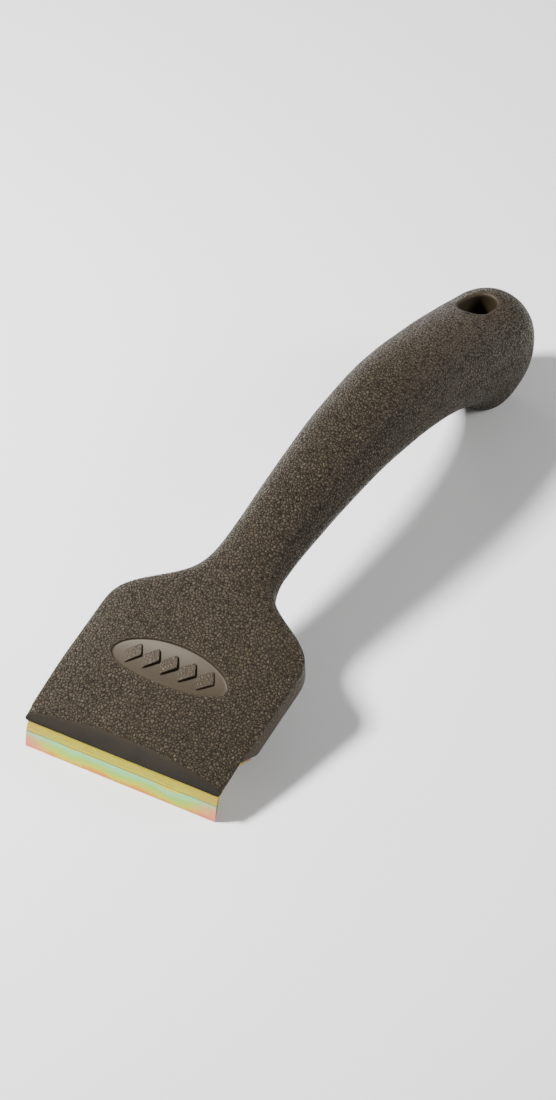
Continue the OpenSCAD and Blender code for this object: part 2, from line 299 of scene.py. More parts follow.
def half_section(y, rounding):
    """The right half of the section at y: the upper and the lower columns."""
    scale = max(float(cap(y)), 0.004)
    w = float(half_width(y))
    side_top = float(height(y, SIDE_TOP))
    side_low = float(max(height(y, SIDE_LOW), pocket(y), 0))
    side_low = min(side_low, side_top - 0.3 * scale)
    fullness = float(at(y, FULLNESS))
    turn = np.linspace(math.pi / 2, 0, 161)
    swell = np.sin(turn) ** (2 * fullness)
    top_x = w * np.cos(turn)
    top_z = side_top + (float(height(y, TOP)) - side_top) * swell
    wall_z = np.linspace(side_top, side_low, 12)[1:-1]
    low = float(height(y, SIDE_LOW))
    low_z = low - (low - float(height(y, UNDER))) * swell[::-1]
    low_z = np.maximum(np.maximum(low_z, float(pocket(y))), 0)
    low_z = np.minimum(low_z, side_low)
    xs = np.concatenate([top_x, np.full(len(wall_z), w), top_x[::-1]])
    zs = np.concatenate([top_z, wall_z, low_z])
    way = np.concatenate([[0], np.cumsum(np.hypot(np.diff(xs), np.diff(zs)))])
    length = way[-1]
    wall_top = way[len(top_x) - 1]
    wall_low = way[len(top_x) + len(wall_z)]
    # rounded corners: the closed outline, smoothed along its length
    even = np.linspace(0, length, OUTLINE_SAMPLES)
    ex = np.interp(even, way, xs)
    ez = np.interp(even, way, zs)
    ring_x = np.concatenate([ex, -ex[-2:0:-1]])
    ring_z = np.concatenate([ez, ez[-2:0:-1]])
    step = length / (OUTLINE_SAMPLES - 1)
    spread = rounding * scale / max(step, 1e-9)
    wave = np.fft.fftfreq(len(ring_x)) * 2 * math.pi
    damp = np.exp(-0.5 * (wave * spread) ** 2)
    ring_x = np.fft.ifft(np.fft.fft(ring_x) * damp).real
    ring_z = np.fft.ifft(np.fft.fft(ring_z) * damp).real
    ex = ring_x[:OUTLINE_SAMPLES]
    ez = ring_z[:OUTLINE_SAMPLES]
    # where the two chains of columns part
    toward_seam = float(blend_step(RIB_END + 0.5, LOWER_START, y))
    at_seam = float(np.interp(-seam_height(y), -zs, way)) if y > RIB_END else 0
    split = (wall_top + wall_low) / 2 * (1 - toward_seam) + at_seam * toward_seam
    up = split - even_steps(split, scale)
    down_even = split + even_steps(length - split, scale)
    wall = np.linspace(split, wall_low, WALL_COLUMNS + 1)[:-1]
    under_way = way[len(top_x) + len(wall_z):]
    under_x = xs[len(top_x) + len(wall_z):]
    ribs = np.interp(-rib_shares() * w, -under_x, under_way)
    down_rib = np.concatenate([wall, ribs])
    down = down_rib * (1 - toward_seam) + down_even * toward_seam
    parts = []
    for places in (up, down):
        px = np.interp(places, even, ex)
        pz = np.interp(places, even, ez)
        parts.append((px, pz))
    if y >= LOWER_START - 0.01:
        after = split + 0.2 * scale
        before = split - 0.2 * scale
        tx = np.interp(after, even, ex) - np.interp(before, even, ex)
        tz = np.interp(after, even, ez) - np.interp(before, even, ez)
        size = max(math.hypot(tx, tz), 1e-9)
        for px, pz in parts:
            px[0] += tz / size * SEAM_GROOVE * scale
            pz[0] -= tx / size * SEAM_GROOVE * scale
    wall_share = 1 - blend_step(side_top - 0.6, side_top + 0.1, parts[0][1])
    smooth = 0.6 * wall_share * float(1 - blend_step(48, 54, y))
    return parts[0], parts[1], smooth


def ring_section(y, rounding):
    """The whole closed section: x, z and share of smooth finish per column."""
    (ux, uz), (lx, lz), smooth = half_section(y, rounding)
    x = np.concatenate([ux, -ux[-2::-1], -lx[1:], lx[-2::-1]])
    z = np.concatenate([uz, uz[-2::-1], lz[1:], lz[-2::-1]])
    low_smooth = np.full(len(lx), float(1 - blend_step(48, 54, y)) * 0.9)
    s = np.concatenate([smooth, smooth[-2::-1], low_smooth[1:], low_smooth[-2::-1]])
    return x, z, s


def row_places(front):
    """Distances from the front at which the body has rows of points."""
    rows = [front + step for step in (0, 0.25, 0.5, 0.75, 1.0, 1.3, 1.65, 2.05, 2.5, 3.1)]
    rows += list(np.linspace(rows[-1], PLANAR_FROM, 10)[1:])
    rows += [POCKET_BACK[0]]
    rows += list(np.linspace(POCKET_BACK[0], 18, 9)[1:])
    rows += list(np.linspace(18, 37, 39)[1:])
    rows += list(np.linspace(37, RIB_END, 13)[1:])
    rows += list(np.linspace(RIB_END, LOWER_START, 13)[1:])
    rows += list(np.linspace(LOWER_START, LOWER_FULL, 21)[1:])
    rows += list(np.linspace(LOWER_FULL, 190, 116)[1:])
    rows += list(np.linspace(190, CAP_START, 30)[1:])
    turns = np.linspace(0, math.pi / 2, 25)[1:]
    rows += list(CAP_START + CAP_LENGTH * np.sin(turns))
    return np.array(rows)


def body_points(rounding):
    """Rows and columns of points over the whole body, front rows on the bevel."""
    probe = np.concatenate([np.arange(0, 24, 0.25), [POCKET_BACK[0]]])
    probe.sort()
    rings = [ring_section(y, rounding) for y in probe]
    px = np.array([ring[0] for ring in rings])
    pz = np.array([ring[1] for ring in rings])
    ps = np.array([ring[2] for ring in rings])
    count = px.shape[1]
    start = np.full(count, POCKET_FRONT[0])
    for _ in range(8):
        for c in range(count):
            z = np.interp(start[c], probe, pz[:, c])
            start[c] = POCKET_FRONT[0] + BEVEL_TILT * (z - POCKET_FRONT[1])
    front = float(start[HALF_COLUMNS])
    rows = row_places(front)
    xs, ys, zs, ss = [], [], [], []
    for row in rows:
        if row < PLANAR_FROM:
            slip = 1 - float(blend_step(front, PLANAR_FROM, row))
            y = row + (start - front) * slip
            x = np.array([np.interp(y[c], probe, px[:, c]) for c in range(count)])
            z = np.array([np.interp(y[c], probe, pz[:, c]) for c in range(count)])
            s = np.array([np.interp(y[c], probe, ps[:, c]) for c in range(count)])
        else:
            x, z, s = ring_section(row, rounding)
            y = np.full(count, row)
        xs.append(x)
        ys.append(y)
        zs.append(z)
        ss.append(s)
    return rows, np.array(xs), np.array(ys), np.array(zs), np.array(ss)


# ---- mesh helpers ------------------------------------------------------------------


def working_mesh(*attributes):
    """An empty bmesh with the layers that the shape functions note places in."""
    bm = bmesh.new()
    for label in ("column", "row"):
        bm.verts.layers.int.new(label)
    for label in ("base_x", "base_y", *attributes):
        bm.verts.layers.float.new(label)
    for label in ("shell", "face_column", "face_row"):
        bm.faces.layers.int.new(label)
    return bm


def lattice(bm, across, along):
    """A grid of faces, with every point's column and row kept in two layers."""
    column = bm.verts.layers.int["column"]
    row = bm.verts.layers.int["row"]
    made = bmesh.ops.create_grid(bm, x_segments=across, y_segments=along, size=1)
    for vert in made["verts"]:
        vert[column] = round((vert.co.x + 1) / 2 * across)
        vert[row] = round((vert.co.y + 1) / 2 * along)
    return made["verts"], column, row


def block_loop(bm, faces):
    """Takes a block of faces away and gives the loop of edges round the gap."""
    inside = set(faces)
    rim = [e for f in faces for e in f.edges if sum(g in inside for g in e.link_faces) == 1]
    bmesh.ops.delete(bm, geom=list(faces), context="FACES")
    return [edge for edge in dict.fromkeys(rim) if edge.is_valid]


def along_ray(reach_at, point_at):
    """A rule that moves a point along its own ray from the opening's centre."""

    def place(bx, by):
        size = math.hypot(bx, by)
        dx, dy = bx / size, by / size
        reach = reach_at(dx, dy, size)
        return point_at(dx * reach, dy * reach)

    return place


def grow_rings(bm, loop, places, smooth=0.0):
    """Extrudes a loop ring by ring; place gives each point from its first one."""
    base_x = bm.verts.layers.float["base_x"]
    base_y = bm.verts.layers.float["base_y"]
    finish = bm.verts.layers.float.get("smooth_finish_and_bevel_shade")
    for place in places:
        made = bmesh.ops.extrude_edge_only(bm, edges=loop)["geom"]
        fresh = {item for item in made if isinstance(item, bmesh.types.BMVert)}
        for vert in fresh:
            vert.co = place(vert[base_x], vert[base_y])
            if finish is not None:
                vert[finish] = smooth
        loop = [
            item
            for item in made
            if isinstance(item, bmesh.types.BMEdge)
            and item.verts[0] in fresh
            and item.verts[1] in fresh
        ]
    return loop


def close_loop(bm, loop):
    """Closes a loop with one face, poked into a fan."""
    made = bmesh.ops.contextual_create(bm, geom=loop)["faces"]
    bmesh.ops.poke(bm, faces=made)


def oval_reach(dx, dy, a, b):
    """Distance from the centre of an ellipse to its outline along a direction."""
    return 1 / math.hypot(dx / a, dy / b)


def slot_reach(dx, dy, radius, straight):
    """Distance from the centre of a slot to its outline along a direction."""
    if abs(dx) > 1e-9 and abs(dy) * radius / abs(dx) <= straight:
        return radius / abs(dx)
    return straight * abs(dy) + math.sqrt(max(radius**2 - (straight * dx) ** 2, 0))


def finish_mesh(bm, name, crease_angle):
    """Turns a bmesh into an object with smooth faces and sharp corners."""
    bmesh.ops.recalc_face_normals(bm, faces=bm.faces)
    for face in bm.faces:
        face.smooth = True
    for edge in bm.edges:
        if len(edge.link_faces) == 2:
            edge.smooth = edge.calc_face_angle(0) < crease_angle
    layers = (bm.verts.layers.int, bm.verts.layers.float, bm.faces.layers.int)
    for kind in layers:
        for label in ("column", "row", "base_x", "base_y", "shell", "face_column", "face_row"):
            layer = kind.get(label)
            if layer is not None:
                kind.remove(layer)
    mesh = bpy.data.meshes.new(name)
    bm.to_mesh(mesh)
    bm.free()
    piece = bpy.data.objects.new(name, mesh)
    bpy.context.scene.collection.objects.link(piece)
    return piece


def cad_copy(node, name):
    """A merged copy of a CAD node's mesh, as a new object."""
    source = bpy.data.objects[node] if node in bpy.data.objects else None
    if source is None:
        raise RuntimeError("no CAD node " + node)
    bm = bmesh.new()
    bm.from_mesh(source.data)
    bmesh.ops.remove_doubles(bm, verts=bm.verts, dist=MERGE_DISTANCE)
    bmesh.ops.dissolve_limit(bm, angle_limit=math.radians(0.5), verts=bm.verts, edges=bm.edges)
    return finish_mesh(bm, name, math.radians(30))


def add_bevel(piece, width):
    """Rounds a piece's sharp edges."""
    modifier = piece.modifiers.new("Rounded edges", "BEVEL")
    modifier.width = width
    modifier.segments = 2
    modifier.limit_method = "ANGLE"
    modifier.angle_limit = math.radians(35)
    modifier.harden_normals = False


# ---- handle ------------------------------------------------------------------------


def build_skin(sizes):
    """The whole moulded body as one closed skin, its faces marked by shell."""
    rows, xs, ys, zs, ss = body_points(sizes.corner_rounding * 1000)
    last_row = len(rows) - 1
    bm = working_mesh("smooth_finish_and_bevel_shade")
    verts, column, row = lattice(bm, 2 * COLUMNS, last_row)
    finish = bm.verts.layers.float["smooth_finish_and_bevel_shade"]
    shell = bm.faces.layers.int["shell"]
    face_column = bm.faces.layers.int["face_column"]
    face_row = bm.faces.layers.int["face_row"]
    first_lower = int(np.argmin(np.abs(rows - LOWER_START)))
    for face in bm.faces:
        c = min(vert[column] for vert in face.verts)
        r = min(vert[row] for vert in face.verts)
        face[face_column] = c
        face[face_row] = r
        face[shell] = 1 if c >= COLUMNS and r >= first_lower else 0
    for vert in verts:
        r = vert[row]
        c = vert[column]
        vert.co = mm(xs[r, c], ys[r, c], zs[r, c])
        vert[finish] = ss[r, c]
    front_face(bm, xs[0], ys[0], zs[0], sizes.scoop * 1000, finish)
    bmesh.ops.remove_doubles(bm, verts=bm.verts, dist=MERGE_DISTANCE)
    soften_crease(bm)
    return bm, rows, xs, ys


def front_face(bm, x, y, z, scoop, finish):
    """The bevel at the front of the head, scooped a little, and darkened to near black by painted
    shade.
    """
    steps = (0, 0.06, 0.12, 0.18, 0.25, 0.33, 0.42, 0.52, 0.62, 0.72, 0.82, 0.91, 0.97, 1)
    verts, column, row = lattice(bm, COLUMNS, len(steps) - 1)
    full = z[HALF_COLUMNS] - POCKET_FRONT[1]
    for vert in verts:
        c = vert[column]
        t = steps[vert[row]]
        low = 2 * COLUMNS - c
        px = x[c] + (x[low] - x[c]) * t
        py = y[c] + (y[low] - y[c]) * t
        pz = z[c] + (z[low] - z[c]) * t
        span = max(z[c] - z[low], 0) / full
        dent = scoop * span * math.sin(math.pi * t) ** 0.8 if 0 < t < 1 else 0
        vert.co = mm(px, py + dent * 0.97, pz - dent * 0.26)
        # Above 1 the value is painted shade: the bevel darkens from the smooth colour at its top
        # edge to near black a quarter of the way down.
        vert[finish] = 1 + min(1, 4 * t)
    face_row = bm.faces.layers.int["face_row"]
    for vert in verts:
        for face in vert.link_faces:
            face[face_row] = -1


def soften_crease(bm):
    """Rounds the crease between the front bevel and the top of the head."""
    face_row = bm.faces.layers.int["face_row"]
    lowest = (POCKET_FRONT[1] + 1.0) * MM
    furthest = (CREASE_REACH - HALF_LENGTH) * MM
    near = [
        vert
        for vert in bm.verts
        if vert.link_faces
        and min(face[face_row] for face in vert.link_faces) <= CREASE_ROWS
        and vert.co.z > lowest
        and vert.co.y < furthest
    ]
    for _ in range(CREASE_PASSES):
        bmesh.ops.smooth_vert(
            bm, verts=near, factor=0.5, use_axis_x=True, use_axis_y=True, use_axis_z=True
        )


def faces_between(bm, first_row, last_row, first_column, last_column):
    """Faces of the skin in a block of rows and columns."""
    face_column = bm.faces.layers.int["face_column"]
    face_row = bm.faces.layers.int["face_row"]
    return [
        face
        for face in bm.faces
        if first_row <= face[face_row] < last_row
        and first_column <= face[face_column] < last_column
    ]


def row_at(rows, y):
    """Number of the row nearest to a distance from the front."""
    return int(np.argmin(np.abs(rows - y)))


def start_opening(bm, faces, cx, cy):
    """Takes out a block and notes each rim point's place from the centre."""
    base_x = bm.verts.layers.float["base_x"]
    base_y = bm.verts.layers.float["base_y"]
    loop = block_loop(bm, faces)
    for edge in loop:
        for vert in edge.verts:
            vert[base_x] = vert.co.x / MM - cx
            vert[base_y] = vert.co.y / MM + HALF_LENGTH - cy
    return loop


def cut_badge(bm, rows, xs, sizes):
    """The oval dish on the head, with a rounded rim."""
    cy = sizes.badge_y * 1000
    a = sizes.badge_width * 500
    b = sizes.badge_length * 500
    depth = sizes.badge_depth * 1000
    r0 = row_at(rows, cy - b - 2.6)
    r1 = row_at(rows, cy + b + 2.6)
    ring = xs[row_at(rows, cy)]
    first = next(c for c in range(COLUMNS) if ring[c] < a + 3)
    faces = faces_between(bm, r0, r1, first, COLUMNS - first)
    loop = start_opening(bm, faces, 0, cy)

    def on_head(drop):
        return lambda x, y: mm(x, cy + y, float(crown(x, cy + y)) - drop)

    def on_oval(offset, scale, drop):
        def reach_at(dx, dy, size):
            return oval_reach(dx, dy, a + offset, b + offset) * scale

        return along_ray(reach_at, on_head(drop))

    def toward_oval(share):
        def reach_at(dx, dy, size):
            return size + (oval_reach(dx, dy, a + 0.8, b + 0.8) - size) * share

        return along_ray(reach_at, on_head(0))

    outer = [toward_oval(share) for share in (0.2, 0.4, 0.6, 0.8, 0.92, 1.0)]
    loop = grow_rings(bm, loop, outer)
    rim = [(0.36, 0.01), (0.24, 0.04), (0.1, 0.11), (0.0, 0.2)]
    loop = grow_rings(bm, loop, [on_oval(o, 1, d) for o, d in rim], SMOOTH / 2)
    wall = [(-0.07, 0.34), (-0.14, 0.5), (-0.24, 0.6), (-0.45, 0.66), (-0.9, 0.71)]
    loop = grow_rings(bm, loop, [on_oval(o, 1, d * depth / 0.8) for o, d in wall], SMOOTH)
    bowl = []
    for scale in (0.93, 0.84, 0.72, 0.58, 0.43, 0.28, 0.14, 0.05):
        share = DISH_RIM_SHARE + DISH_BOWL_SHARE * (1 - scale**2)
        bowl.append(on_oval(-0.9, scale, depth * share))
    loop = grow_rings(bm, loop, bowl, SMOOTH)
    close_loop(bm, loop)


def cut_hang_hole(bm, rows, xs, sizes, top):
    """One end of the hang hole: a rounded rim and a wall down to the seam."""
    radius = sizes.hole_width * 500
    straight = (sizes.hole_length - sizes.hole_width) * 500
    soft = sizes.hole_rim * 1000
    r0 = row_at(rows, HANG_HOLE_Y - radius - straight - soft - 1.4)
    r1 = row_at(rows, HANG_HOLE_Y + radius + straight + soft + 1.4)
    ring = xs[row_at(rows, HANG_HOLE_Y)]
    side = radius + soft + 1.3
    if top:
        first = next(c for c in range(COLUMNS) if ring[c] < side)
        faces = faces_between(bm, r0, r1, first, COLUMNS - first)
    else:
        first = next(c for c in range(COLUMNS, 2 * COLUMNS) if ring[c] > -side)
        faces = faces_between(bm, r0, r1, first, 3 * COLUMNS - first)
    loop = start_opening(bm, faces, 0, HANG_HOLE_Y)
    surface = crown if top else belly
    sign = -1 if top else 1

    def toward_slot(share):
        def reach_at(dx, dy, size):
            return size + (slot_reach(dx, dy, radius + soft, straight) - size) * share

        def point_at(x, dy):
            y = HANG_HOLE_Y + dy
            return mm(x, y, float(surface(x, y)))

        return along_ray(reach_at, point_at)

    def on_slot(turn, fall):
        def reach_at(dx, dy, size):
            return slot_reach(dx, dy, radius + soft * (1 - math.sin(turn)), straight)

        def point_at(x, dy):
            y = HANG_HOLE_Y + dy
            z = float(surface(x, y)) + sign * soft * (1 - math.cos(turn))
            return mm(x, y, z + (float(seam_height(y)) - z) * fall)

        return along_ray(reach_at, point_at)

    outer = [toward_slot(share) for share in (0.3, 0.6, 0.85, 1.0)]
    loop = grow_rings(bm, loop, outer)
    rounds = [on_slot(math.radians(angle), 0) for angle in (15, 30, 45, 60, 75, 90)]
    loop = grow_rings(bm, loop, rounds, 0.9)
    falls = [on_slot(math.pi / 2, share) for share in (0.15, 0.4, 0.7, 1.0)]
    grow_rings(bm, loop, falls, SMOOTH)


def cut_ribs(bm, rows, xs):
    """The hollows between the ribs under the head."""
    finish = bm.verts.layers.float["smooth_finish_and_bevel_shade"]
    ring = xs[row_at(rows, RIB_Y + 4)]
    r0 = row_at(rows, RIB_Y)
    r1 = row_at(rows, RIB_END)
    rise = float(at(RIB_END, SIDE_TOP) - at(RIB_Y, SIDE_TOP)) / (RIB_END - RIB_Y)
    swell = float(at(RIB_Y, TOP) - at(RIB_Y, SIDE_TOP))
    for bay in range(BAYS):
        cx = (bay - (BAYS - 1) / 2) * BAY_PITCH
        inside = [
            c for c in range(COLUMNS, 2 * COLUMNS + 1) if abs(ring[c] - cx) < BAY_REACH + 0.12
        ]
        faces = faces_between(bm, r0, r1, inside[0], inside[-1])
        edge = abs(cx) + BAY_REACH
        fall = 1 - (edge / HEAD_HALF_WIDTH) ** 2
        roof = at(RIB_Y, SIDE_TOP) + swell * fall - SHELL_WALL
        made = bmesh.ops.extrude_face_region(bm, geom=faces)["geom"]
        bmesh.ops.delete(bm, geom=faces, context="FACES")
        for vert in made:
            if isinstance(vert, bmesh.types.BMVert):
                y = vert.co.y / MM + HALF_LENGTH
                vert.co.z = (float(roof) + (y - RIB_Y) * rise) * MM
                vert[finish] = 1.0


def cut_insert_seat(bm, ys):
    """The bore for the threaded insert, square to the blade's seat."""
    center = 2 * COLUMNS - HALF_COLUMNS
    reach = INSERT_RADIUS + 1.3
    along = ys[:, center]
    r0 = row_at(along, SEAT_Y - reach)
    r1 = row_at(along, SEAT_Y + reach)
    faces = faces_between(bm, r0, r1, center - 6, center + 6)
    loop = start_opening(bm, faces, 0, SEAT_Y)

    def on_circle(share, rise):
        def place(bx, by):
            bu = by / math.cos(PITCH)
            size = math.hypot(bx, bu)
            radius = size + (INSERT_RADIUS - size) * share
            return on_seat(bx / size * radius, bu / size * radius, rise)

        return place

    flat = [on_circle(share, 0) for share in (0.5, 1.0)]
    loop = grow_rings(bm, loop, flat, SMOOTH)
    loop = grow_rings(bm, loop, [on_circle(1.0, INSERT_DEPTH)], SMOOTH)
    close_loop(bm, loop)


def one_shell(skin, which, name):
    """One shell of the skin, closed along the seam."""
    bm = skin.copy()
    shell = bm.faces.layers.int["shell"]
    others = [face for face in bm.faces if face[shell] != which]
    bmesh.ops.delete(bm, geom=others, context="FACES")
    loose = [vert for vert in bm.verts if not vert.link_faces]
    bmesh.ops.delete(bm, geom=loose, context="VERTS")
    rim = [edge for edge in bm.edges if len(edge.link_faces) == 1]
    shift = SEAM_GAP / 2 * MM * (1 if which == 0 else -1)
    for vert in {vert for edge in rim for vert in edge.verts}:
        vert.co.z += shift
    bmesh.ops.triangle_fill(
        bm, edges=rim, use_beauty=True, use_dissolve=False, normal=Vector((0, 0, 1))
    )
    finish = bm.verts.layers.float["smooth_finish_and_bevel_shade"]
    # Up to 1 the value fades the grain; from 1 to 2 it is the front bevel's painted shade.
    for vert in bm.verts:
        vert[finish] = min(max(vert[finish], 0), 2)
    return finish_mesh(bm, name, math.radians(50))


# ---- materials -----------------------------------------------------------------------


def new_group(name, inputs, outputs):
    """An empty shader node group with named sockets."""
    group = bpy.data.node_groups.new(name, "ShaderNodeTree")
    for label, kind, value in inputs:
        socket = group.interface.new_socket(name=label, in_out="INPUT", socket_type=kind)
        if value is not None:
            socket.default_value = value
    for label, kind in outputs:
        group.interface.new_socket(name=label, in_out="OUTPUT", socket_type=kind)
    start = group.nodes.new("NodeGroupInput")
    end = group.nodes.new("NodeGroupOutput")
    return group, start, end


def plug(tree, socket, value):
    """Links a socket into another, or sets its constant."""
    if isinstance(value, bpy.types.NodeSocket):
        tree.links.new(value, socket)
    else:
        socket.default_value = value


def add(tree, kind, settings=None, **inputs):
    """Adds a node; inputs are values or sockets, by their names with _ for a space."""
    node = tree.nodes.new(kind)
    for key, value in (settings or {}).items():
        setattr(node, key, value)
    for key, value in inputs.items():
        socket = node.inputs[int(key[1:])] if key[0] == "i" and key[1:].isdigit() else (
            node.inputs[key.replace("_", " ")]
        )
        plug(tree, socket, value)
    return node


def math_node(tree, operation, a, b=None, clamp=False):
    """A Math node's result."""
    node = add(tree, "ShaderNodeMath", {"operation": operation, "use_clamp": clamp}, i0=a)
    if b is not None:
        plug(tree, node.inputs[1], b)
    return node.outputs[0]


def map_range(tree, value, from_min, from_max, to_min, to_max, smooth=False):
    """A Map Range node's result."""
    settings = {"interpolation_type": "SMOOTHSTEP"} if smooth else {}
    node = add(tree, "ShaderNodeMapRange", settings, Value=value, From_Min=from_min,
               From_Max=from_max, To_Min=to_min, To_Max=to_max)
    return node.outputs["Result"]


def mix_colour(tree, factor, a, b):
    """Mixes two colours."""
    node = tree.nodes.new("ShaderNodeMix")
    node.data_type = "RGBA"
    plug(tree, node.inputs[0], factor)
    for index, value in ((6, a), (7, b)):
        if not isinstance(value, bpy.types.NodeSocket):
            value = (*value[:3], 1)
        plug(tree, node.inputs[index], value)
    return node.outputs[2]


def place_group(tree, group, **inputs):
    """Places a node group in a material with its own values."""
    node = tree.nodes.new("ShaderNodeGroup")
    node.node_tree = group
    for key, value in inputs.items():
        plug(tree, node.inputs[key.replace("_", " ")], value)
    return node


def leather_grain_group():
    """Moulded leather grain: pebbles parted by fine grooves."""
    group, start, end = new_group(
        "Leather grain",
        [("Vector", "NodeSocketVector", None), ("Pebble Size", "NodeSocketFloat", 0.001),
         ("Warp", "NodeSocketFloat", 0.6), ("Groove Width", "NodeSocketFloat", 0.2)],
        [("Height", "NodeSocketFloat"), ("Pebble", "NodeSocketFloat"),
         ("Tone", "NodeSocketFloat")],
    )
    inverse = math_node(group, "DIVIDE", 1.0, start.outputs["Pebble Size"])
    scaled = add(group, "ShaderNodeVectorMath", {"operation": "SCALE"},
                 i0=start.outputs["Vector"], Scale=inverse).outputs[0]
    wander = add(group, "ShaderNodeTexNoise", Vector=scaled, Scale=0.55, Detail=2.0)
    offset = add(group, "ShaderNodeVectorMath", {"operation": "SUBTRACT"},
                 i0=wander.outputs["Color"], i1=(0.5, 0.5, 0.5)).outputs[0]
    push = add(group, "ShaderNodeVectorMath", {"operation": "SCALE"},
               i0=offset, Scale=math_node(group, "MULTIPLY", start.outputs["Warp"], 2.0))
    moved = add(group, "ShaderNodeVectorMath", {"operation": "ADD"},
                i0=scaled, i1=push.outputs[0]).outputs[0]
    cells = add(group, "ShaderNodeTexVoronoi", {"feature": "DISTANCE_TO_EDGE"},
                Vector=moved, Scale=1.0, Randomness=0.9)
    pebble = map_range(group, cells.outputs["Distance"], 0.0,
                       start.outputs["Groove Width"], 0.0, 1.0, True)
    small = add(group, "ShaderNodeTexVoronoi", {"feature": "DISTANCE_TO_EDGE"},
                Vector=moved, Scale=2.3, Randomness=1.0)
    wrinkle = map_range(group, small.outputs["Distance"], 0.0, 0.18, 0.0, 1.0, True)
    fine = add(group, "ShaderNodeTexNoise", Vector=scaled, Scale=5.0, Detail=2.0)
    dome = map_range(group, cells.outputs["Distance"], 0.0, 0.4, 0.0, 1.0)
    dome = math_node(group, "POWER", dome, 0.65)
    height_one = math_node(group, "MULTIPLY", dome, 0.8)
    height_two = math_node(group, "MULTIPLY", wrinkle, 0.14)
    height_three = math_node(group, "MULTIPLY", fine.outputs[0], 0.12)
    total = math_node(group, "ADD", math_node(group, "ADD", height_one, height_two),
                      height_three)
    slow = add(group, "ShaderNodeTexNoise", Vector=scaled, Scale=0.16, Detail=3.0)
    each = add(group, "ShaderNodeTexVoronoi", {"feature": "F1"},
               Vector=moved, Scale=1.0, Randomness=0.9)
    tone = math_node(group, "ADD", math_node(group, "MULTIPLY", slow.outputs[0], 0.75),
                     math_node(group, "MULTIPLY", each.outputs["Color"], 0.25))
    group.links.new(total, end.inputs["Height"])
    group.links.new(pebble, end.inputs["Pebble"])
    group.links.new(tone, end.inputs["Tone"])
    return group


def handling_group():
    """Where hands and dust have changed a surface: a slow, uneven mask."""
    group, start, end = new_group(
        "Handling marks",
        [("Vector", "NodeSocketVector", None), ("Patch Size", "NodeSocketFloat", 0.02)],
        [("Patches", "NodeSocketFloat"), ("Specks", "NodeSocketFloat")],
    )
    inverse = math_node(group, "DIVIDE", 1.0, start.outputs["Patch Size"])
    scaled = add(group, "ShaderNodeVectorMath", {"operation": "SCALE"},
                 i0=start.outputs["Vector"], Scale=inverse).outputs[0]
    slow = add(group, "ShaderNodeTexNoise", Vector=scaled, Scale=1.0, Detail=4.0,
               Roughness=0.6)
    patches = map_range(group, slow.outputs[0], 0.35, 0.7, 0.0, 1.0, True)
    quick = add(group, "ShaderNodeTexNoise", Vector=scaled, Scale=30.0, Detail=2.0)
    specks = map_range(group, quick.outputs[0], 0.62, 0.75, 0.0, 1.0, True)
    group.links.new(patches, end.inputs["Patches"])
    group.links.new(specks, end.inputs["Specks"])
    return group


def drawn_metal_group():
    """Fine lines left by rolling or turning, along one direction."""
    group, start, end = new_group(
        "Drawn metal",
        [("Vector", "NodeSocketVector", None), ("Line Size", "NodeSocketFloat", 0.0002),
         ("Stretch", "NodeSocketVector", (0.03, 1.0, 1.0))],
        [("Lines", "NodeSocketFloat")],
    )
    inverse = math_node(group, "DIVIDE", 1.0, start.outputs["Line Size"])
    scaled = add(group, "ShaderNodeVectorMath", {"operation": "SCALE"},
                 i0=start.outputs["Vector"], Scale=inverse).outputs[0]
    drawn = add(group, "ShaderNodeVectorMath", {"operation": "MULTIPLY"},
                i0=scaled, i1=start.outputs["Stretch"]).outputs[0]
    lines = add(group, "ShaderNodeTexNoise", Vector=drawn, Scale=1.0, Detail=3.0,
                Roughness=0.6)
    group.links.new(lines.outputs[0], end.inputs["Lines"])
    return group


def new_material(name):
    """A material with one Principled shader, and its object coordinates."""
    material = bpy.data.materials.new(name)
    material.use_nodes = True
    tree = material.node_tree
    shader = tree.nodes["Principled BSDF"]
    place = tree.nodes.new("ShaderNodeTexCoord")
    return material, tree, shader, place.outputs["Object"]


def add_bump(tree, shader, height_value, distance, strength):
    """Links a height to the shader's normal."""
    bump = add(tree, "ShaderNodeBump", Strength=strength, Distance=distance,
               Height=height_value)
    tree.links.new(bump.outputs["Normal"], shader.inputs["Normal"])


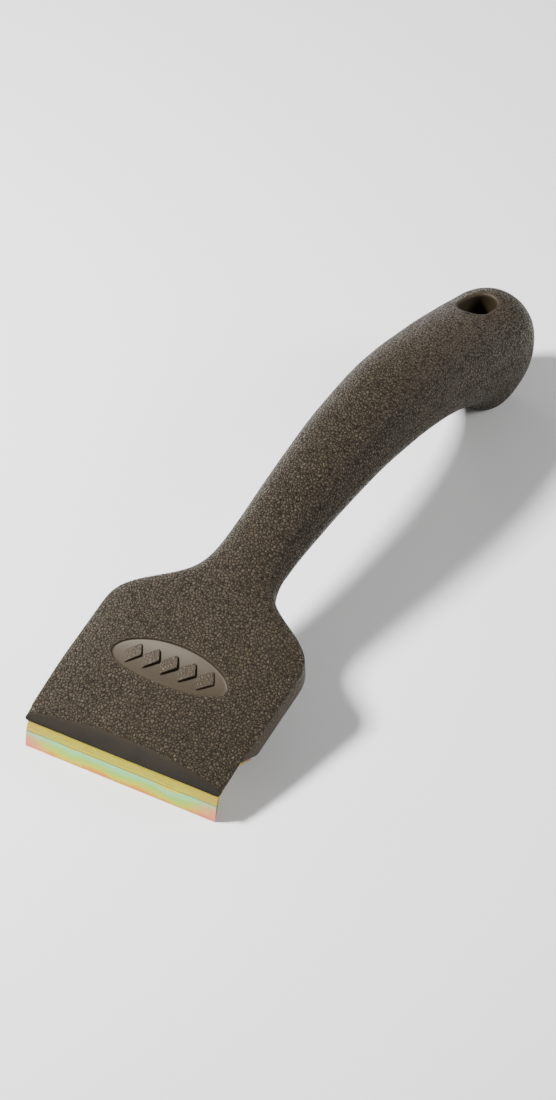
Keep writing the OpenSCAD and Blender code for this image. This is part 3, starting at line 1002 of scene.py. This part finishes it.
def grained_plastic(name, groups, looks):
    """Dark moulded plastic with a leather grain that fades on smooth faces, with painted shade in
    the grooves and on the front bevel.
    """
    material, tree, shader, coords = new_material(name)
    grain = place_group(tree, groups["grain"], Vector=coords,
                        Pebble_Size=looks.pebble_size, Warp=0.6, Groove_Width=0.25)
    marks = place_group(tree, groups["handling"], Vector=coords, Patch_Size=0.03)
    smooth_and_shade = add(tree, "ShaderNodeAttribute", {"attribute_name": "smooth_finish_and_bevel_shade"})
    grained = math_node(tree, "SUBTRACT", 1.0, smooth_and_shade.outputs["Fac"], clamp=True)
    toned = mix_colour(tree, grain.outputs["Tone"], looks.plastic_dark, looks.plastic_light)
    # Painted shade: the grooves between the pebbles are darkened to near black.
    groove_shaded = mix_colour(tree, grain.outputs["Pebble"], looks.groove_and_bevel_shade, toned)
    # Painted shade on the front bevel: where the attribute runs from 1 to 2, the smooth colour turns
    # into the near-black shade colour.
    shaded = map_range(tree, smooth_and_shade.outputs["Fac"], 1.0, 2.0, 0.0, 1.0)
    even = mix_colour(tree, shaded, looks.plastic_smooth, looks.groove_and_bevel_shade)
    colour = mix_colour(tree, grained, even, groove_shaded)
    worn = mix_colour(tree, math_node(tree, "MULTIPLY", marks.outputs["Patches"], 0.12),
                      colour, looks.plastic_light)
    tree.links.new(worn, shader.inputs["Base Color"])
    rough = map_range(tree, grain.outputs["Pebble"], 0.0, 1.0, 0.7, looks.plastic_roughness)
    rough = math_node(tree, "ADD", rough,
                      math_node(tree, "MULTIPLY", marks.outputs["Patches"], 0.06))
    even_rough = math_node(tree, "MULTIPLY", math_node(tree, "SUBTRACT", 1.0, grained), 0.5)
    rough = math_node(tree, "ADD", math_node(tree, "MULTIPLY", rough, grained), even_rough)
    tree.links.new(rough, shader.inputs["Roughness"])
    shader.inputs["Specular IOR Level"].default_value = 0.26
    shader.inputs["Specular Tint"].default_value = (1.0, 0.9, 0.76, 1)
    height_value = math_node(tree, "MULTIPLY", grain.outputs["Height"], grained)
    add_bump(tree, shader, height_value, looks.grain_depth, 1.0)
    return material


def chromated_steel(groups, looks):
    """Yellow chromated blade steel, with the ground bevels' rainbow film and a painted highlight
    over the bends.
    """
    material, tree, shader, coords = new_material("chromated blade steel")
    edge = add(tree, "ShaderNodeAttribute", {"attribute_name": "from_edge"}).outputs["Fac"]
    marks = place_group(tree, groups["handling"], Vector=coords, Patch_Size=0.012)
    lines = place_group(tree, groups["drawn"], Vector=coords, Line_Size=0.00025,
                        Stretch=(0.04, 1.0, 1.0))
    side = add(tree, "ShaderNodeSeparateXYZ", Vector=coords).outputs["X"]
    wander = math_node(tree, "MULTIPLY",
                       math_node(tree, "SUBTRACT", marks.outputs["Patches"], 0.5), 0.14)
    film = math_node(tree, "ADD", edge, wander)
    ramp = add(tree, "ShaderNodeValToRGB", Fac=film)
    # Painted highlight: the yellow film is lightened from the bevel line up over the bend.
    stops = [(0.0, looks.film_orange), (0.10, looks.film_yellow), (0.24, looks.film_green),
             (0.42, looks.film_pale), (0.49, looks.film_yellow), (0.51, looks.film_painted_highlight),
             (0.8, looks.film_painted_highlight), (1.0, looks.film_yellow)]
    elements = ramp.color_ramp.elements
    while len(elements) < len(stops):
        elements.new(0.5)
    for element, (position, colour) in zip(elements, stops):
        element.position = position
        element.color = (*colour, 1)
    ends = math_node(tree, "ABSOLUTE", side)
    ends = math_node(tree, "ADD", ends, math_node(tree, "MULTIPLY", wander, 0.03))
    pink = map_range(tree, ends, 0.020, 0.031, 0.0, 0.75, True)
    low = map_range(tree, film, 0.2, 0.5, 1.0, 0.25, True)
    colour = mix_colour(tree, math_node(tree, "MULTIPLY", pink, low),
                        ramp.outputs["Color"], looks.film_pink)
    off_line = math_node(tree, "ABSOLUTE", math_node(tree, "SUBTRACT", edge, 0.5))
    line = map_range(tree, off_line, 0.008, 0.022, 0.8, 0.0, True)
    colour = mix_colour(tree, line, colour, looks.film_line)
    tree.links.new(colour, shader.inputs["Base Color"])
    shader.inputs["Metallic"].default_value = 0.85
    rough = map_range(tree, lines.outputs["Lines"], 0.3, 0.7, 0.24, 0.4)
    tree.links.new(rough, shader.inputs["Roughness"])
    add_bump(tree, shader, lines.outputs["Lines"], 0.00002, 0.5)
    return material


def plated_metal(name, groups, colour, dark, roughness, line_size, stretch):
    """Plated or turned metal with fine lines and dull patches."""
    material, tree, shader, coords = new_material(name)
    marks = place_group(tree, groups["handling"], Vector=coords, Patch_Size=0.006)
    lines = place_group(tree, groups["drawn"], Vector=coords, Line_Size=line_size,
                        Stretch=stretch)
    tinted = mix_colour(tree, math_node(tree, "MULTIPLY", marks.outputs["Patches"], 0.6),
                        colour, dark)
    tree.links.new(tinted, shader.inputs["Base Color"])
    shader.inputs["Metallic"].default_value = 0.9
    rough = map_range(tree, lines.outputs["Lines"], 0.3, 0.7, roughness - 0.07,
                      roughness + 0.09)
    tree.links.new(rough, shader.inputs["Roughness"])
    add_bump(tree, shader, lines.outputs["Lines"], 0.00003, 0.5)
    return material


def groups_once():
    """The shared node groups, made the first time they are asked for."""
    makers = {"grain": ("Leather grain", leather_grain_group),
              "handling": ("Handling marks", handling_group),
              "drawn": ("Drawn metal", drawn_metal_group)}
    return {key: bpy.data.node_groups.get(label) or make()
            for key, (label, make) in makers.items()}


def dress(piece, material):
    """Gives a piece one material."""
    piece.data.materials.clear()
    piece.data.materials.append(material)


# ---- blade ------------------------------------------------------------------------------


def rounded_path(points, radii, arc_steps, step):
    """A closed path with rounded corners and points at most a step apart."""
    path = []
    count = len(points)
    for i in range(count):
        here = Vector(points[i])
        back = (Vector(points[i - 1]) - here).normalized()
        on = (Vector(points[(i + 1) % count]) - here).normalized()
        radius = radii[i]
        if radius == 0:
            path.append(here)
            continue
        turn = math.pi - back.angle(on)
        reach = radius * math.tan(turn / 2)
        start = here + back * reach
        end = here + on * reach
        for k in range(arc_steps + 1):
            t = k / arc_steps
            path.append(start * (1 - t) ** 2 + here * 2 * t * (1 - t) + end * t**2)
    fine = []
    for i, here in enumerate(path):
        on = path[(i + 1) % len(path)]
        pieces = max(1, math.ceil((on - here).length / step))
        fine += [here.lerp(on, k / pieces) for k in range(pieces)]
    return fine


def blade_profile():
    """The C-section of the blade, from the middle of the web's top face."""
    tip_u = WEB / 2 + FLANGE * math.cos(FLANGE_BEND) - BLADE_THICKNESS * math.sin(FLANGE_BEND)
    tip_v = -FLANGE * math.sin(FLANGE_BEND) - BLADE_THICKNESS * math.cos(FLANGE_BEND)
    inner_u = WEB / 2 - BLADE_THICKNESS * math.tan(FLANGE_BEND / 2)
    bevel_u = WEB / 2 + (FLANGE - GROUND_BEVEL) * math.cos(FLANGE_BEND)
    bevel_v = -(FLANGE - GROUND_BEVEL) * math.sin(FLANGE_BEND)
    land_u = tip_u + 0.1 * math.sin(FLANGE_BEND)
    half = [(tip_u, tip_v), (land_u, tip_v + 0.1), (bevel_u, bevel_v), (WEB / 2, 0)]
    radii = [0, 0, 0, 1.3]
    points = half + [(-u, v) for u, v in reversed(half)]
    corner_radii = radii + radii[::-1]
    points += [(-inner_u, -BLADE_THICKNESS), (inner_u, -BLADE_THICKNESS)]
    corner_radii += [0.7, 0.7]
    return rounded_path(points, corner_radii, 6, 0.7)


def edge_distance(u, v):
    """Distance up the blade from the nearer cutting edge, in centimetres."""
    bend = WEB / 2
    if abs(u) <= bend:
        return min(1.0, (FLANGE + bend - abs(u)) / 10)
    along = (abs(u) - bend) * math.cos(FLANGE_BEND) - v * math.sin(FLANGE_BEND)
    return max(0.0, (FLANGE - along) / 10)


def build_blade():
    """The blade's sheet, with the hole in its web for the screw."""
    profile = blade_profile()
    count = len(profile)
    bm = working_mesh("from_edge")
    verts, column, row = lattice(bm, count, BLADE_SLICES)
    from_edge = bm.verts.layers.float["from_edge"]
    base_x = bm.verts.layers.float["base_x"]
    base_y = bm.verts.layers.float["base_y"]
    for vert in verts:
        u, v = profile[vert[column] % count]
        x = -BLADE_WIDTH / 2 + BLADE_WIDTH * vert[row] / BLADE_SLICES
        vert[base_x] = x
        vert[base_y] = u
        vert[from_edge] = edge_distance(u, v)
        vert.co = on_seat(x, u, v)
    bmesh.ops.remove_doubles(bm, verts=bm.verts, dist=MERGE_DISTANCE)
    loops = []
    upright = Vector((0, -math.sin(PITCH), math.cos(PITCH)))
    for level in (0, -BLADE_THICKNESS):
        block = []
        for face in bm.faces:
            inside = all(
                max(abs(vert[base_x]), abs(vert[base_y])) < HOLE_MARGIN for vert in face.verts
            )
            rise = (face.calc_center_median() - on_seat(0, 0, 0)).dot(upright) / MM
            if inside and abs(rise - level) < 0.2:
                block.append(face)
        loop = block_loop(bm, block)

        def to_circle(share, at_level=level):
            def reach_at(dx, dy, size):
                return size + (SHANK_HOLE - size) * share

            return along_ray(reach_at, lambda x, u: on_seat(x, u, at_level))

        loops += grow_rings(bm, loop, [to_circle(share) for share in (0.5, 1.0)])
    bmesh.ops.bridge_loops(bm, edges=loops)
    ends = [edge for edge in bm.edges if len(edge.link_faces) == 1]
    bmesh.ops.holes_fill(bm, edges=ends, sides=0)
    piece = finish_mesh(bm, "blade_sheet", math.radians(28))
    add_bevel(piece, BLADE_EDGE_ROUND * MM)
    return piece


# ---- settings --------------------------------------------------------------------------------


class ScraperSizes(bpy.types.PropertyGroup):
    """Sizes of the moulded handle."""

    corner_rounding: FloatProperty(
        name="Corner rounding", description="How far the corners of a section are rounded",
        default=0.0006, unit="LENGTH")
    scoop: FloatProperty(
        name="Scoop", description="Hollow of the front bevel",
        default=0.00025, unit="LENGTH")
    badge_y: FloatProperty(
        name="Badge place", description="Distance of the badge from the front edge",
        default=0.0275, unit="LENGTH")
    badge_width: FloatProperty(
        name="Badge width", description="Length of the oval across the head",
        default=0.038, unit="LENGTH")
    badge_length: FloatProperty(
        name="Badge length", description="Length of the oval along the head",
        default=0.013, unit="LENGTH")
    badge_depth: FloatProperty(
        name="Badge depth", description="Depth of the oval dish",
        default=0.0008, unit="LENGTH")
    hole_width: FloatProperty(
        name="Hang hole width", description="Width of the hang hole",
        default=0.0095, unit="LENGTH")
    hole_length: FloatProperty(
        name="Hang hole length", description="Length of the hang hole",
        default=0.014, unit="LENGTH")
    hole_rim: FloatProperty(
        name="Hang hole rim", description="Rounding of the hang hole's rim",
        default=0.0012, unit="LENGTH")
    motif_count: IntProperty(
        name="Lozenges", description="Number of raised lozenges in the badge", default=5)


class ScraperLooks(bpy.types.PropertyGroup):
    """Colours and finishes."""

    plastic_light: FloatVectorProperty(
        name="Plastic, light", description="Lighter pebbles of the grain",
        subtype="COLOR", default=(0.076, 0.058, 0.036))
    plastic_dark: FloatVectorProperty(
        name="Plastic, dark", description="Darker areas of the grain",
        subtype="COLOR", default=(0.042, 0.031, 0.019))
    plastic_smooth: FloatVectorProperty(
        name="Plastic, smooth", description="Faces without grain",
        subtype="COLOR", default=(0.026, 0.019, 0.011))
    # Painted shade: near-black colour of the grooves between the pebbles and of the front bevel
    groove_and_bevel_shade: FloatVectorProperty(
        name="Grooves", description="Grooves between the pebbles",
        subtype="COLOR", default=(0.0022, 0.0016, 0.0009))
    plastic_roughness: FloatProperty(
        name="Plastic roughness", description="Roughness of the pebbles",
        subtype="FACTOR", min=0, max=1, default=0.3)
    pebble_size: FloatProperty(
        name="Pebble size", description="Width of one pebble of the grain",
        default=0.00094, unit="LENGTH")
    grain_depth: FloatProperty(
        name="Grain depth", description="Depth of the grooves between pebbles",
        default=0.0006, unit="LENGTH")
    film_orange: FloatVectorProperty(
        name="Film, orange", description="Film along the cutting edge",
        subtype="COLOR", default=(0.58, 0.20, 0.03))
    film_yellow: FloatVectorProperty(
        name="Film, yellow", description="Film between its bands",
        subtype="COLOR", default=(0.50, 0.45, 0.03))
    film_green: FloatVectorProperty(
        name="Film, green", description="Film in the lower half of the bevel",
        subtype="COLOR", default=(0.29, 0.49, 0.07))
    film_pale: FloatVectorProperty(
        name="Film, pale", description="Film in the upper half of the bevel",
        subtype="COLOR", default=(0.22, 0.54, 0.28))
    film_line: FloatVectorProperty(
        name="Film, line", description="Line where the ground bevel starts",
        subtype="COLOR", default=(0.14, 0.11, 0.02))
    # Yellow film lightened by a painted highlight, over the bend
    film_painted_highlight: FloatVectorProperty(
        name="Film, bright", description="Film over the bend",
        subtype="COLOR", default=(0.58, 0.50, 0.05))
    film_pink: FloatVectorProperty(
        name="Film, pink", description="Film at the ends of the blade",
        subtype="COLOR", default=(0.66, 0.15, 0.16))
    zinc: FloatVectorProperty(
        name="Zinc", description="Bright zinc plating",
        subtype="COLOR", default=(0.62, 0.62, 0.60))
    zinc_dull: FloatVectorProperty(
        name="Zinc, dull", description="Dull patches of the plating",
        subtype="COLOR", default=(0.42, 0.43, 0.44))
    brass: FloatVectorProperty(
        name="Brass", description="Turned brass of the insert",
        subtype="COLOR", default=(0.70, 0.50, 0.18))
    brass_dull: FloatVectorProperty(
        name="Brass, dull", description="Dull patches of the brass",
        subtype="COLOR", default=(0.45, 0.30, 0.10))


class ScraperStage(bpy.types.PropertyGroup):
    """Camera and light."""

    azimuth: FloatProperty(
        name="Azimuth", description="Angle of the camera round the scraper",
        subtype="ANGLE", default=math.radians(33.56))
    elevation: FloatProperty(
        name="Elevation", description="Angle of the camera above the floor",
        subtype="ANGLE", default=math.radians(40.11))
    roll: FloatProperty(
        name="Roll", description="Turn of the camera about its own axis",
        subtype="ANGLE", default=math.radians(-2.51))
    lens: FloatProperty(
        name="Lens", description="Focal length for a 36 mm long side",
        subtype="DISTANCE_CAMERA", default=161.35)
    distance: FloatProperty(
        name="Distance", description="Distance of the camera",
        default=1.38085, unit="LENGTH")
    aim_right: FloatProperty(
        name="Aim right", description="Shift of the camera to its right",
        default=0.03427, unit="LENGTH")
    aim_up: FloatProperty(
        name="Aim up", description="Shift of the camera upwards",
        default=0.04252, unit="LENGTH")
    key_power: FloatProperty(
        name="Key light", description="Power of the key light", default=14.5, unit="POWER")
    fill_power: FloatProperty(
        name="Fill light", description="Power of the fill light", default=6.0, unit="POWER")
    sky: FloatProperty(
        name="Sky", description="Strength of the surrounding light", default=0.2)
    floor_colour: FloatVectorProperty(
        name="Floor", description="Colour of the floor",
        subtype="COLOR", default=(0.9, 0.9, 0.9))


# ---- operators ------------------------------------------------------------------------------------


class SCRAPER_OT_handle(bpy.types.Operator):
    """Builds the two moulded shells of the handle"""

    bl_idname = "scraper.handle"
    bl_label = "Handle shells"

    def execute(self, context):
        sizes = context.scene.scraper_sizes
        looks = context.scene.scraper_looks
        skin, rows, xs, ys = build_skin(sizes)
        cut_badge(skin, rows, xs, sizes)
        cut_hang_hole(skin, rows, xs, sizes, True)
        cut_hang_hole(skin, rows, xs, sizes, False)
        cut_ribs(skin, rows, xs)
        cut_insert_seat(skin, ys)
        groups = groups_once()
        material = grained_plastic("grained plastic", groups, looks)
        for which, name, node, slot in (
            (0, "upper_moulding", "upper_shell", "upper_plastic"),
            (1, "lower_moulding", "lower_shell", "lower_plastic"),
        ):
            piece = one_shell(skin, which, name)
            dress(piece, material)
            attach(piece, "handle")
            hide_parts(node)
        skin.free()
        return {"FINISHED"}


class SCRAPER_OT_badge(bpy.types.Operator):
    """Builds the raised lozenges in the oval badge"""

    bl_idname = "scraper.badge"
    bl_label = "Badge lozenges"

    def execute(self, context):
        sizes = context.scene.scraper_sizes
        count = sizes.motif_count
        cy = sizes.badge_y * 1000
        bm = bmesh.new()
        finish = bm.verts.layers.float.new("smooth_finish_and_bevel_shade")
        for i in range(count):
            cx = (i - (count - 1) / 2) * LOZENGE_PITCH
            made = bmesh.ops.create_grid(bm, x_segments=6, y_segments=8, size=1)["verts"]
            faces = list(dict.fromkeys(face for vert in made for face in vert.link_faces))
            for vert in made:
                s, t = vert.co.x, vert.co.y
                y = cy + LOZENGE_TALL * (t - s) / 2
                x = cx + LOZENGE_WIDE * (s + t) / 2 + LOZENGE_SLANT * (y - cy)
                vert.co = mm(x, y, float(crown(x, y)) - LOZENGE_SUNK)
                vert[finish] = 0.8
            extruded = bmesh.ops.extrude_face_region(bm, geom=faces)["geom"]
            for item in extruded:
                if isinstance(item, bmesh.types.BMVert):
                    item.co.z -= LOZENGE_HEIGHT * MM
                    item[finish] = SMOOTH
            rim = [
                edge
                for edge in dict.fromkeys(e for face in faces for e in face.edges)
                if any(face not in faces for face in edge.link_faces)
            ]
            bmesh.ops.bevel(bm, geom=rim, offset=LOZENGE_ROUND * MM, offset_type="OFFSET",
                            affect="EDGES", segments=3, profile=0.5, material=-1)
        piece = finish_mesh(bm, "badge_lozenges", math.radians(50))
        dress(piece, bpy.data.materials["grained plastic"])
        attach(piece, "handle")
        return {"FINISHED"}


class SCRAPER_OT_blade(bpy.types.Operator):
    """Builds the blade"""

    bl_idname = "scraper.blade"
    bl_label = "Blade"

    def execute(self, context):
        piece = build_blade()
        dress(piece, chromated_steel(groups_once(), context.scene.scraper_looks))
        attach(piece, "clamp")
        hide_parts("blade")
        return {"FINISHED"}


class SCRAPER_OT_clamp(bpy.types.Operator):
    """Builds the clamp plate, washer, screw and threaded insert"""

    bl_idname = "scraper.clamp"
    bl_label = "Clamp"

    def execute(self, context):
        looks = context.scene.scraper_looks
        groups = groups_once()
        plate = plated_metal("zinc plated plate", groups, looks.zinc, looks.zinc_dull,
                             0.34, 0.0003, (0.05, 1, 1))
        turned = plated_metal("zinc plated screw", groups, looks.zinc, looks.zinc_dull,
                              0.28, 0.00015, (1, 1, 1))
        brass = plated_metal("turned brass", groups, looks.brass, looks.brass_dull,
                             0.3, 0.0002, (1, 1, 1))
        jobs = (
            ("clamp_plate", "clamp_bar", "clamp", "zinc_plate", plate, 0.25),
            ("lock_washer", "spring_washer", "clamp", "zinc_washer", turned, 0.08),
            ("clamp_screw", "slotted_screw", "screw", "zinc_screw", turned, 0.1),
            ("threaded_insert", "brass_insert", "handle", "brass", brass, 0.06),
        )
        for node, name, body, slot, material, rounding in jobs:
            piece = cad_copy(node, name)
            add_bevel(piece, rounding * MM)
            dress(piece, material)
            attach(piece, body)
            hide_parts(node)
        return {"FINISHED"}


class SCRAPER_OT_stage(bpy.types.Operator):
    """Builds the floor, the lights and the camera"""

    bl_idname = "scraper.stage"
    bl_label = "Stage"

    def execute(self, context):
        stage = context.scene.scraper_stage
        bm = bmesh.new()
        bmesh.ops.create_grid(bm, x_segments=1, y_segments=1, size=3)
        floor = finish_mesh(bm, "floor", 1.0)
        material, tree, shader, coords = new_material("pale floor")
        tone = add(tree, "ShaderNodeTexNoise", Vector=coords, Scale=2.0, Detail=2.0)
        low = [value * 0.99 for value in stage.floor_colour]
        colour = mix_colour(tree, tone.outputs[0], low, stage.floor_colour)
        tree.links.new(colour, shader.inputs["Base Color"])
        shader.inputs["Roughness"].default_value = 0.9
        shader.inputs["Specular IOR Level"].default_value = 0.1
        dress(floor, material)
        world = context.scene.world or bpy.data.worlds.new("studio")
        context.scene.world = world
        world.use_nodes = True
        background = world.node_tree.nodes["Background"]
        background.inputs["Color"].default_value = (1, 1, 1, 1)
        background.inputs["Strength"].default_value = stage.sky
        aim = Vector((0, 0, 0.02))
        lamps = (
            ("key light", (-0.38, -0.2, 0.56), 0.14, stage.key_power),
            ("back light", (-0.7, 0.5, 0.3), 0.25, stage.fill_power * BACK_SHARE),
            ("fill light", (0.8, 0.35, 0.4), 0.4, stage.fill_power * RIGHT_SHARE),
        )
        for name, spot, size, power in lamps:
            lamp = bpy.data.lights.new(name, "AREA")
            lamp.size = size
            lamp.energy = power
            holder = bpy.data.objects.new(name, lamp)
            context.scene.collection.objects.link(holder)
            holder.location = Vector(spot)
            holder.rotation_mode = "QUATERNION"
            holder.rotation_quaternion = (aim - Vector(spot)).to_track_quat("-Z", "Y")
        az, el, roll = stage.azimuth, stage.elevation, stage.roll
        back = Vector((math.sin(az) * math.cos(el), -math.cos(az) * math.cos(el), math.sin(el)))
        level = Vector((math.cos(az), math.sin(az), 0))
        above = back.cross(level)
        right = level * math.cos(roll) + above * math.sin(roll)
        up = above * math.cos(roll) - level * math.sin(roll)
        head = Vector((0, (20 - HALF_LENGTH) * MM, 15 * MM))
        data = bpy.data.cameras.new("camera")
        data.sensor_width = 36
        data.lens = stage.lens
        data.clip_start = 0.05
        data.clip_end = 20
        camera = bpy.data.objects.new("camera", data)
        context.scene.collection.objects.link(camera)
        spot = head + right * stage.aim_right + up * stage.aim_up + back * stage.distance
        axes = Matrix((right, up, back)).transposed().to_4x4()
        camera.matrix_world = Matrix.Translation(spot) @ axes
        context.scene.camera = camera
        return {"FINISHED"}


class SCRAPER_PT_panel(bpy.types.Panel):
    """Lists the builders"""

    bl_label = "Floor scraper"
    bl_idname = "SCRAPER_PT_panel"
    bl_space_type = "VIEW_3D"
    bl_region_type = "UI"
    bl_category = "Scraper"

    def draw(self, context):
        for operator in OPERATORS:
            self.layout.operator(operator.bl_idname)
        for name in ("scraper_sizes", "scraper_looks", "scraper_stage"):
            group = getattr(context.scene, name)
            box = self.layout.box()
            for key in group.__annotations__:
                box.prop(group, key)


OPERATORS = (
    SCRAPER_OT_handle,
    SCRAPER_OT_badge,
    SCRAPER_OT_blade,
    SCRAPER_OT_clamp,
    SCRAPER_OT_stage,
)
SETTINGS = (ScraperSizes, ScraperLooks, ScraperStage)


def register():
    """Registers the settings, the operators and the panel."""
    for item in SETTINGS + OPERATORS + (SCRAPER_PT_panel,):
        bpy.utils.register_class(item)
    bpy.types.Scene.scraper_sizes = PointerProperty(type=ScraperSizes)
    bpy.types.Scene.scraper_looks = PointerProperty(type=ScraperLooks)
    bpy.types.Scene.scraper_stage = PointerProperty(type=ScraperStage)


def unregister():
    """Takes everything back out."""
    del bpy.types.Scene.scraper_stage
    del bpy.types.Scene.scraper_looks
    del bpy.types.Scene.scraper_sizes
    for item in reversed(SETTINGS + OPERATORS + (SCRAPER_PT_panel,)):
        bpy.utils.unregister_class(item)


def main():
    """Builds the whole scraper."""
    register()
    bpy.ops.scraper.handle()
    bpy.ops.scraper.badge()
    bpy.ops.scraper.blade()
    bpy.ops.scraper.clamp()
    bpy.ops.scraper.stage()


if __name__ == "__main__":
    main()
